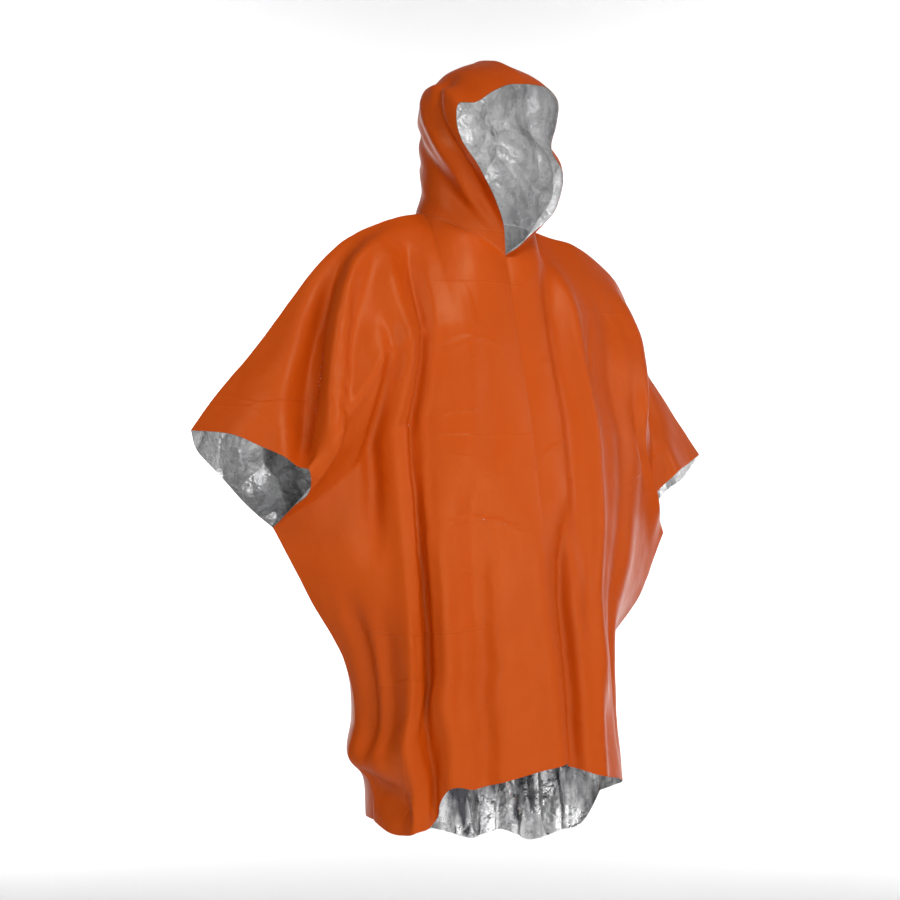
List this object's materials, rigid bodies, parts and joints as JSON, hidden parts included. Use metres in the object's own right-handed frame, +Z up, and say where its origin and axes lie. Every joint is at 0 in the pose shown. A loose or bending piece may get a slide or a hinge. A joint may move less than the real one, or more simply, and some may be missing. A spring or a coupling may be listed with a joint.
{
  "type": "hooded poncho",
  "caption": "Hooded poncho of orange coated film with a metallised inside, in its worn hollow form: overlapping fronts, wide grown-on sleeves, longer back and raised hood.",
  "frame": {"origin": "on the line of the shoulders, at the middle of the neck, where the wearer holds the garment up", "axes": "+Z up, -Y the garment's front, +X the wearer's left"},
  "size_m": [1.012, 0.3515, 1.3264],
  "materials": {
    "coated_film": "satin coated outside, metallised inside"
  },
  "bodies": {
    "root": {"front_right": "coated_film", "front_left": "coated_film", "back": "coated_film", "hood_right": "coated_film", "hood_left": "coated_film"}
  },
  "joints": []
}
